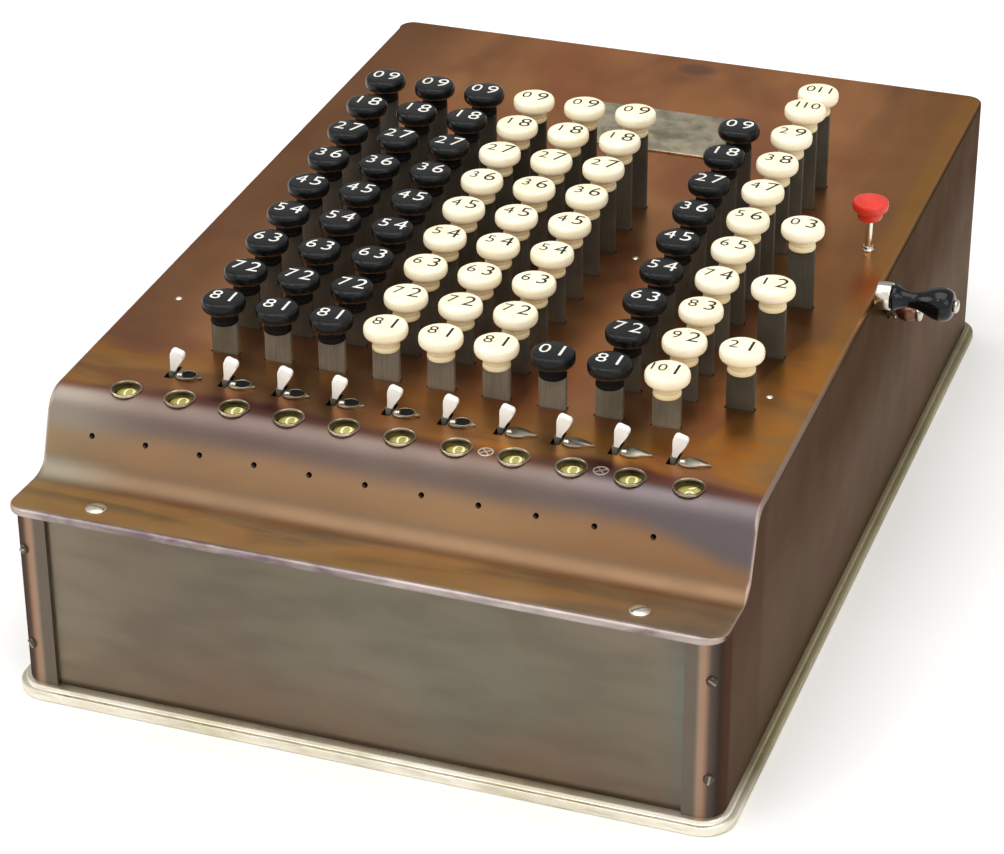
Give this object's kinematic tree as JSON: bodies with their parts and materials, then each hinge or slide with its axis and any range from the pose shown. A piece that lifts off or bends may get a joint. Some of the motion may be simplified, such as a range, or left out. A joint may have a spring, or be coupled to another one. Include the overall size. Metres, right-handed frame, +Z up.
{
  "type": "key-driven calculator",
  "caption": "Desk-top key-driven adding machine: curved metal case on a plated base, stepped rows of round keys, numeral wheels behind round windows, cutoff levers and a side clearing crank.",
  "frame": {"origin": "centre of the base plate's underside", "axes": "+Z up, -Y towards the front panel, +X towards the crank"},
  "size_m": [0.2786, 0.3715, 0.1436],
  "materials": {
    "cover": "heat-coloured copper plating, satin",
    "panel": "dull grey-brown oxidised plating",
    "plated": "worn nickel plating",
    "shaft": "ground steel",
    "inner_steel": "plain pressed steel",
    "bezel": "dull bronzed rim",
    "paddle": "white enamelled paddle",
    "wheel": "yellow-olive with dark numerals",
    "black_key": "polished black",
    "white_key": "aged ivory white",
    "red_key": "polished red"
  },
  "bodies": {
    "case": {"base_plate": "plated", "front_panel": "panel", "top_cover": "cover", "left_side_frame": "inner_steel", "right_side_frame": "inner_steel", "key_guide_plate": "inner_steel", "lever_shaft": "shaft", "wheel_shaft": "shaft", "cutoff_shaft": "shaft", "lever_springs": "inner_steel", "wheel_detents": "inner_steel", "dial_bezels": "bezel", "cutoff_plates": "plated", "name_plate": "plated", "case_screws": "plated"},
    "crank": {"crank_shaft": "plated", "crank_arm": "plated"},
    "crank_knob": {"crank_knob": "black_key"},
    "release_key": {"release_key": "red_key"},
    "column_lever_1": {"column_lever_1": "inner_steel"},
    "key_column_1": {"key_column_1": "black_key"},
    "column_lever_2": {"column_lever_2": "inner_steel"},
    "key_column_2": {"key_column_2": "black_key"},
    "column_lever_3": {"column_lever_3": "inner_steel"},
    "key_column_3": {"key_column_3": "black_key"},
    "column_lever_4": {"column_lever_4": "inner_steel"},
    "key_column_4": {"key_column_4": "white_key"},
    "column_lever_5": {"column_lever_5": "inner_steel"},
    "key_column_5": {"key_column_5": "white_key"},
    "column_lever_6": {"column_lever_6": "inner_steel"},
    "key_column_6": {"key_column_6": "white_key"},
    "column_lever_7": {"column_lever_7": "inner_steel"},
    "key_column_7": {"key_column_7": "black_key"},
    "column_lever_8": {"column_lever_8": "inner_steel"},
    "key_column_8": {"key_column_8": "black_key"},
    "column_lever_9": {"column_lever_9": "inner_steel"},
    "key_column_9": {"key_column_9": "white_key"},
    "column_lever_10": {"column_lever_10": "inner_steel"},
    "key_column_10": {"key_column_10": "white_key"},
    "cutoff_lever_1": {"cutoff_lever_1": "paddle"},
    "cutoff_lever_2": {"cutoff_lever_2": "paddle"},
    "cutoff_lever_3": {"cutoff_lever_3": "paddle"},
    "cutoff_lever_4": {"cutoff_lever_4": "paddle"},
    "cutoff_lever_5": {"cutoff_lever_5": "paddle"},
    "cutoff_lever_6": {"cutoff_lever_6": "paddle"},
    "cutoff_lever_7": {"cutoff_lever_7": "paddle"},
    "cutoff_lever_8": {"cutoff_lever_8": "paddle"},
    "cutoff_lever_9": {"cutoff_lever_9": "paddle"},
    "cutoff_lever_10": {"cutoff_lever_10": "paddle"},
    "numeral_wheel_1": {"numeral_wheel_1": "wheel"},
    "numeral_wheel_2": {"numeral_wheel_2": "wheel"},
    "numeral_wheel_3": {"numeral_wheel_3": "wheel"},
    "numeral_wheel_4": {"numeral_wheel_4": "wheel"},
    "numeral_wheel_5": {"numeral_wheel_5": "wheel"},
    "numeral_wheel_6": {"numeral_wheel_6": "wheel"},
    "numeral_wheel_7": {"numeral_wheel_7": "wheel"},
    "numeral_wheel_8": {"numeral_wheel_8": "wheel"},
    "numeral_wheel_9": {"numeral_wheel_9": "wheel"},
    "numeral_wheel_10": {"numeral_wheel_10": "wheel"},
    "numeral_wheel_11": {"numeral_wheel_11": "wheel"}
  },
  "joints": [
    {"name": "column_lever_1_swing", "type": "hinge", "parent": "case", "child": "column_lever_1", "pos_m": [-0.0766, 0.134, 0.0526], "axis": [1, 0, 0], "range_deg": [0, 6.45], "stiffness_Nm_per_rad": 0.6, "springref_deg": -17.19},
    {"name": "key_column_1_press", "type": "slide", "parent": "case", "child": "key_column_1", "axis": [0, 0, -1], "range_m": [0, 0.006], "stiffness_N_per_m": 100, "springref_m": -0.005},
    {"name": "column_lever_2_swing", "type": "hinge", "parent": "case", "child": "column_lever_2", "pos_m": [-0.0571, 0.134, 0.0526], "axis": [1, 0, 0], "range_deg": [0, 6.45], "stiffness_Nm_per_rad": 0.6, "springref_deg": -17.19},
    {"name": "key_column_2_press", "type": "slide", "parent": "case", "child": "key_column_2", "axis": [0, 0, -1], "range_m": [0, 0.006], "stiffness_N_per_m": 100, "springref_m": -0.005},
    {"name": "column_lever_3_swing", "type": "hinge", "parent": "case", "child": "column_lever_3", "pos_m": [-0.0376, 0.134, 0.0526], "axis": [1, 0, 0], "range_deg": [0, 6.45], "stiffness_Nm_per_rad": 0.6, "springref_deg": -17.19},
    {"name": "key_column_3_press", "type": "slide", "parent": "case", "child": "key_column_3", "axis": [0, 0, -1], "range_m": [0, 0.006], "stiffness_N_per_m": 100, "springref_m": -0.005},
    {"name": "column_lever_4_swing", "type": "hinge", "parent": "case", "child": "column_lever_4", "pos_m": [-0.0181, 0.134, 0.0526], "axis": [1, 0, 0], "range_deg": [0, 6.45], "stiffness_Nm_per_rad": 0.6, "springref_deg": -17.19},
    {"name": "key_column_4_press", "type": "slide", "parent": "case", "child": "key_column_4", "axis": [0, 0, -1], "range_m": [0, 0.006], "stiffness_N_per_m": 100, "springref_m": -0.005},
    {"name": "column_lever_5_swing", "type": "hinge", "parent": "case", "child": "column_lever_5", "pos_m": [0.0014, 0.134, 0.0526], "axis": [1, 0, 0], "range_deg": [0, 6.45], "stiffness_Nm_per_rad": 0.6, "springref_deg": -17.19},
    {"name": "key_column_5_press", "type": "slide", "parent": "case", "child": "key_column_5", "axis": [0, 0, -1], "range_m": [0, 0.006], "stiffness_N_per_m": 100, "springref_m": -0.005},
    {"name": "column_lever_6_swing", "type": "hinge", "parent": "case", "child": "column_lever_6", "pos_m": [0.0209, 0.134, 0.0526], "axis": [1, 0, 0], "range_deg": [0, 6.45], "stiffness_Nm_per_rad": 0.6, "springref_deg": -17.19},
    {"name": "key_column_6_press", "type": "slide", "parent": "case", "child": "key_column_6", "axis": [0, 0, -1], "range_m": [0, 0.006], "stiffness_N_per_m": 100, "springref_m": -0.005},
    {"name": "column_lever_7_swing", "type": "hinge", "parent": "case", "child": "column_lever_7", "pos_m": [0.0404, 0.134, 0.0526], "axis": [1, 0, 0], "range_deg": [0, 6.45], "stiffness_Nm_per_rad": 0.6, "springref_deg": -17.19},
    {"name": "key_column_7_press", "type": "slide", "parent": "case", "child": "key_column_7", "axis": [0, 0, -1], "range_m": [0, 0.006], "stiffness_N_per_m": 100, "springref_m": -0.005},
    {"name": "column_lever_8_swing", "type": "hinge", "parent": "case", "child": "column_lever_8", "pos_m": [0.0599, 0.134, 0.0526], "axis": [1, 0, 0], "range_deg": [0, 6.45], "stiffness_Nm_per_rad": 0.6, "springref_deg": -17.19},
    {"name": "key_column_8_press", "type": "slide", "parent": "case", "child": "key_column_8", "axis": [0, 0, -1], "range_m": [0, 0.006], "stiffness_N_per_m": 100, "springref_m": -0.005},
    {"name": "column_lever_9_swing", "type": "hinge", "parent": "case", "child": "column_lever_9", "pos_m": [0.0794, 0.134, 0.0526], "axis": [1, 0, 0], "range_deg": [0, 6.45], "stiffness_Nm_per_rad": 0.6, "springref_deg": -17.19},
    {"name": "key_column_9_press", "type": "slide", "parent": "case", "child": "key_column_9", "axis": [0, 0, -1], "range_m": [0, 0.006], "stiffness_N_per_m": 100, "springref_m": -0.005},
    {"name": "column_lever_10_swing", "type": "hinge", "parent": "case", "child": "column_lever_10", "pos_m": [0.0989, 0.134, 0.0526], "axis": [1, 0, 0], "range_deg": [0, 6.45], "stiffness_Nm_per_rad": 0.6, "springref_deg": -17.19},
    {"name": "key_column_10_press", "type": "slide", "parent": "case", "child": "key_column_10", "axis": [0, 0, -1], "range_m": [0, 0.006], "stiffness_N_per_m": 100, "springref_m": -0.005},
    {"name": "cutoff_lever_1_tilt", "type": "hinge", "parent": "case", "child": "cutoff_lever_1", "pos_m": [-0.08775, -0.1248, 0.09294], "axis": [1, 0, 0], "range_deg": [0, 14]},
    {"name": "cutoff_lever_2_tilt", "type": "hinge", "parent": "case", "child": "cutoff_lever_2", "pos_m": [-0.06825, -0.1248, 0.09294], "axis": [1, 0, 0], "range_deg": [0, 14]},
    {"name": "cutoff_lever_3_tilt", "type": "hinge", "parent": "case", "child": "cutoff_lever_3", "pos_m": [-0.04875, -0.1248, 0.09294], "axis": [1, 0, 0], "range_deg": [0, 14]},
    {"name": "cutoff_lever_4_tilt", "type": "hinge", "parent": "case", "child": "cutoff_lever_4", "pos_m": [-0.02925, -0.1248, 0.09294], "axis": [1, 0, 0], "range_deg": [0, 14]},
    {"name": "cutoff_lever_5_tilt", "type": "hinge", "parent": "case", "child": "cutoff_lever_5", "pos_m": [-0.00975, -0.1248, 0.09294], "axis": [1, 0, 0], "range_deg": [0, 14]},
    {"name": "cutoff_lever_6_tilt", "type": "hinge", "parent": "case", "child": "cutoff_lever_6", "pos_m": [0.00975, -0.1248, 0.09294], "axis": [1, 0, 0], "range_deg": [0, 14]},
    {"name": "cutoff_lever_7_tilt", "type": "hinge", "parent": "case", "child": "cutoff_lever_7", "pos_m": [0.02925, -0.1248, 0.09294], "axis": [1, 0, 0], "range_deg": [0, 14]},
    {"name": "cutoff_lever_8_tilt", "type": "hinge", "parent": "case", "child": "cutoff_lever_8", "pos_m": [0.04875, -0.1248, 0.09294], "axis": [1, 0, 0], "range_deg": [0, 14]},
    {"name": "cutoff_lever_9_tilt", "type": "hinge", "parent": "case", "child": "cutoff_lever_9", "pos_m": [0.06825, -0.1248, 0.09294], "axis": [1, 0, 0], "range_deg": [0, 14]},
    {"name": "cutoff_lever_10_tilt", "type": "hinge", "parent": "case", "child": "cutoff_lever_10", "pos_m": [0.08775, -0.1248, 0.09294], "axis": [1, 0, 0], "range_deg": [0, 14]},
    {"name": "numeral_wheel_1_turn", "type": "hinge", "parent": "case", "child": "numeral_wheel_1", "pos_m": [-0.0975, -0.1366, 0.08974], "axis": [1, 0, 0], "continuous": true},
    {"name": "numeral_wheel_2_turn", "type": "hinge", "parent": "case", "child": "numeral_wheel_2", "pos_m": [-0.078, -0.1366, 0.08974], "axis": [1, 0, 0], "continuous": true},
    {"name": "numeral_wheel_3_turn", "type": "hinge", "parent": "case", "child": "numeral_wheel_3", "pos_m": [-0.0585, -0.1366, 0.08974], "axis": [1, 0, 0], "continuous": true},
    {"name": "numeral_wheel_4_turn", "type": "hinge", "parent": "case", "child": "numeral_wheel_4", "pos_m": [-0.039, -0.1366, 0.08974], "axis": [1, 0, 0], "continuous": true},
    {"name": "numeral_wheel_5_turn", "type": "hinge", "parent": "case", "child": "numeral_wheel_5", "pos_m": [-0.0195, -0.1366, 0.08974], "axis": [1, 0, 0], "continuous": true},
    {"name": "numeral_wheel_6_turn", "type": "hinge", "parent": "case", "child": "numeral_wheel_6", "pos_m": [0, -0.1366, 0.08974], "axis": [1, 0, 0], "continuous": true},
    {"name": "numeral_wheel_7_turn", "type": "hinge", "parent": "case", "child": "numeral_wheel_7", "pos_m": [0.0195, -0.1366, 0.08974], "axis": [1, 0, 0], "continuous": true},
    {"name": "numeral_wheel_8_turn", "type": "hinge", "parent": "case", "child": "numeral_wheel_8", "pos_m": [0.039, -0.1366, 0.08974], "axis": [1, 0, 0], "continuous": true},
    {"name": "numeral_wheel_9_turn", "type": "hinge", "parent": "case", "child": "numeral_wheel_9", "pos_m": [0.0585, -0.1366, 0.08974], "axis": [1, 0, 0], "continuous": true},
    {"name": "numeral_wheel_10_turn", "type": "hinge", "parent": "case", "child": "numeral_wheel_10", "pos_m": [0.078, -0.1366, 0.08974], "axis": [1, 0, 0], "continuous": true},
    {"name": "numeral_wheel_11_turn", "type": "hinge", "parent": "case", "child": "numeral_wheel_11", "pos_m": [0.0975, -0.1366, 0.08974], "axis": [1, 0, 0], "continuous": true},
    {"name": "crank_pull", "type": "hinge", "parent": "case", "child": "crank", "pos_m": [0.1237, 0.026, 0.086], "axis": [1, 0, 0], "range_deg": [0, 60], "stiffness_Nm_per_rad": 0.3, "springref_deg": -17.19},
    {"name": "crank_knob_spin", "type": "hinge", "parent": "crank", "child": "crank_knob", "pos_m": [0.1291, -0.002, 0.1055], "axis": [1, 0, 0], "continuous": true},
    {"name": "release_key_press", "type": "slide", "parent": "case", "child": "release_key", "axis": [0, 0, -1], "range_m": [0, 0.005], "stiffness_N_per_m": 200, "springref_m": -0.004}
  ],
  "couplings": [
    {"joint": "key_column_1_press", "follows": "column_lever_1_swing", "m_per_rad": 0.053},
    {"joint": "key_column_2_press", "follows": "column_lever_2_swing", "m_per_rad": 0.053},
    {"joint": "key_column_3_press", "follows": "column_lever_3_swing", "m_per_rad": 0.053},
    {"joint": "key_column_4_press", "follows": "column_lever_4_swing", "m_per_rad": 0.053},
    {"joint": "key_column_5_press", "follows": "column_lever_5_swing", "m_per_rad": 0.053},
    {"joint": "key_column_6_press", "follows": "column_lever_6_swing", "m_per_rad": 0.053},
    {"joint": "key_column_7_press", "follows": "column_lever_7_swing", "m_per_rad": 0.053},
    {"joint": "key_column_8_press", "follows": "column_lever_8_swing", "m_per_rad": 0.053},
    {"joint": "key_column_9_press", "follows": "column_lever_9_swing", "m_per_rad": 0.053},
    {"joint": "key_column_10_press", "follows": "column_lever_10_swing", "m_per_rad": 0.053}
  ]
}
